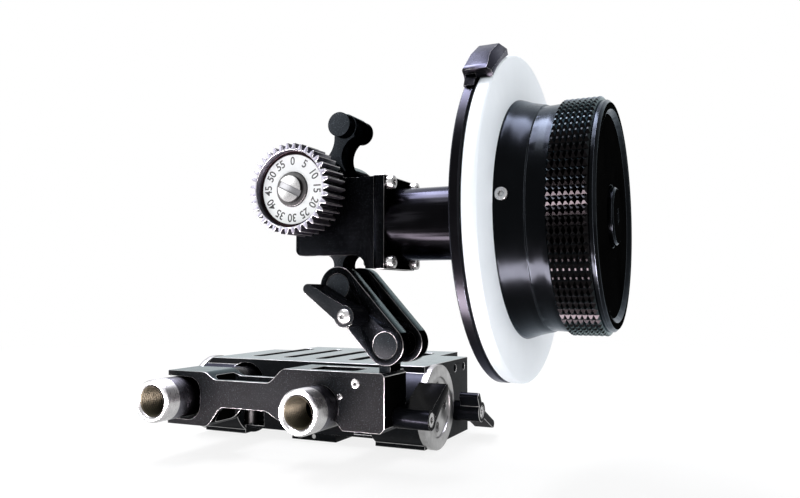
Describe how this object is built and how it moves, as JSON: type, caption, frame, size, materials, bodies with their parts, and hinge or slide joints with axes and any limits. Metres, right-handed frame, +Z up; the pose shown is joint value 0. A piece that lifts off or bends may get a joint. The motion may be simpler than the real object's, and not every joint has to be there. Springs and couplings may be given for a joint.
{
  "type": "follow focus unit",
  "caption": "Follow focus unit: handwheel with marking disc and gearbox on a swinging link, clamped by a bridge to two rods in a small base plate.",
  "frame": {"origin": "on the standing face, midway between the rods, under the middle of the base plate", "axes": "+X along the handwheel axis towards the knob, +Y back along the rods, +Z up"},
  "size_m": [0.1876, 0.1597, 0.1327],
  "materials": {
    "anodised_bridge": "black anodised, fine satin grain, bare cut edges",
    "anodised_black": "black anodised, fine satin grain",
    "anodised_knob": "black anodised, smooth and slightly glossy",
    "rod_steel": "turned, dull silver",
    "bright_steel": "bright machined",
    "dark_steel": "blackened",
    "gear_aluminium": "cut and bead blasted, silver",
    "bronze": "turned",
    "white_plastic": "matte white, wipe clean",
    "label_film": "matt printed film"
  },
  "bodies": {
    "base": {"base_plate": "anodised_black", "sole_plate": "anodised_black", "sole_screws": "bright_steel", "rod_left": "rod_steel", "rod_right": "rod_steel", "rosettes": "bright_steel", "rosette_screws": "bright_steel", "jack_screws": "dark_steel"},
    "base_lever_right_body": {"base_lever_right": "anodised_bridge", "base_lever_screws_right": "bright_steel"},
    "base_lever_left_body": {"base_lever_left": "anodised_bridge", "base_lever_screws_left": "bright_steel"},
    "bridge": {"bridge_body": "anodised_bridge", "bridge_shoe": "bronze", "bridge_pins": "bright_steel", "swivel_post": "anodised_black", "post_screws": "dark_steel"},
    "bridge_clamp": {"bridge_lever": "anodised_bridge", "bridge_lever_screw": "bright_steel"},
    "link": {"link_front_plate": "anodised_black", "link_back_plate": "anodised_black", "link_sleeve": "anodised_black"},
    "link_clamp": {"link_lever": "anodised_bridge", "link_lever_screw": "bright_steel"},
    "gearbox": {"gearbox_housing": "anodised_black", "flange_cover": "anodised_black", "cover_screws": "bright_steel", "upper_lug": "anodised_black", "lower_lug": "anodised_black", "back_cap": "anodised_black", "back_cap_screws": "bright_steel", "tube": "anodised_black", "tube_collar": "rod_steel", "wheel_bearings": "bright_steel", "spindle_bearings": "bright_steel", "counter_bearings": "bright_steel"},
    "handwheel": {"wheel_shaft": "bright_steel", "wheel_bevel_gear": "bright_steel", "marking_disc": "white_plastic", "knob_hub": "anodised_knob", "knurled_grip": "anodised_knob", "front_cover": "anodised_knob", "knob_set_screws": "bright_steel", "centre_screw": "dark_steel"},
    "counter": {"counter_shaft": "bright_steel", "counter_bevel_gear": "bright_steel", "counter_spur_gear": "bright_steel"},
    "drive": {"spindle": "bright_steel", "spindle_pinion": "bright_steel", "drive_gear": "gear_aluminium", "gear_label": "label_film", "gear_washer": "dark_steel", "gear_screw": "bright_steel"},
    "index": {"index_ring": "anodised_knob", "index_pointer": "anodised_knob", "pointer_screw": "dark_steel"}
  },
  "joints": [
    {"name": "bridge_slide", "type": "slide", "parent": "base", "child": "bridge", "axis": [0, 1, 0], "range_m": [-0.013, 0.015]},
    {"name": "bridge_lever_turn", "type": "hinge", "parent": "bridge", "child": "bridge_clamp", "pos_m": [0.0542, -0.0685, 0.0187], "axis": [1, 0, 0], "range_deg": [-90, 25]},
    {"name": "link_swing", "type": "hinge", "parent": "bridge", "child": "link", "pos_m": [0.0552, -0.0685, 0.0428], "axis": [0, 1, 0], "range_deg": [-25, 15]},
    {"name": "link_lever_turn", "type": "hinge", "parent": "link", "child": "link_clamp", "pos_m": [0.0466, -0.0685, 0.05215], "axis": [0, 1, 0], "range_deg": [-60, 90]},
    {"name": "gearbox_swivel", "type": "hinge", "parent": "link", "child": "gearbox", "pos_m": [0.03801, -0.0685, 0.0615], "axis": [0, 1, 0], "range_deg": [-25, 10]},
    {"name": "handwheel_spin", "type": "hinge", "parent": "gearbox", "child": "handwheel", "pos_m": [0.05001, -0.06425, 0.0822], "axis": [1, 0, 0], "continuous": true},
    {"name": "counter_spin", "type": "hinge", "parent": "gearbox", "child": "counter", "pos_m": [0.02701, -0.06425, 0.0822], "axis": [0, 1, 0], "continuous": true},
    {"name": "drive_spin", "type": "hinge", "parent": "gearbox", "child": "drive", "pos_m": [0.02701, -0.06425, 0.09282], "axis": [0, 1, 0], "continuous": true},
    {"name": "index_turn", "type": "hinge", "parent": "gearbox", "child": "index", "pos_m": [0.05001, -0.06425, 0.0822], "axis": [1, 0, 0], "continuous": true},
    {"name": "base_lever_right_turn", "type": "hinge", "parent": "base", "child": "base_lever_right_body", "pos_m": [0.0505, -0.004, 0.0117], "axis": [1, 0, 0], "range_deg": [-5, 60]},
    {"name": "base_lever_left_turn", "type": "hinge", "parent": "base", "child": "base_lever_left_body", "pos_m": [-0.0505, -0.004, 0.0117], "axis": [1, 0, 0], "range_deg": [-5, 60]}
  ],
  "couplings": [
    {"joint": "counter_spin", "follows": "handwheel_spin", "ratio": 1},
    {"joint": "drive_spin", "follows": "handwheel_spin", "ratio": -0.63636}
  ]
}
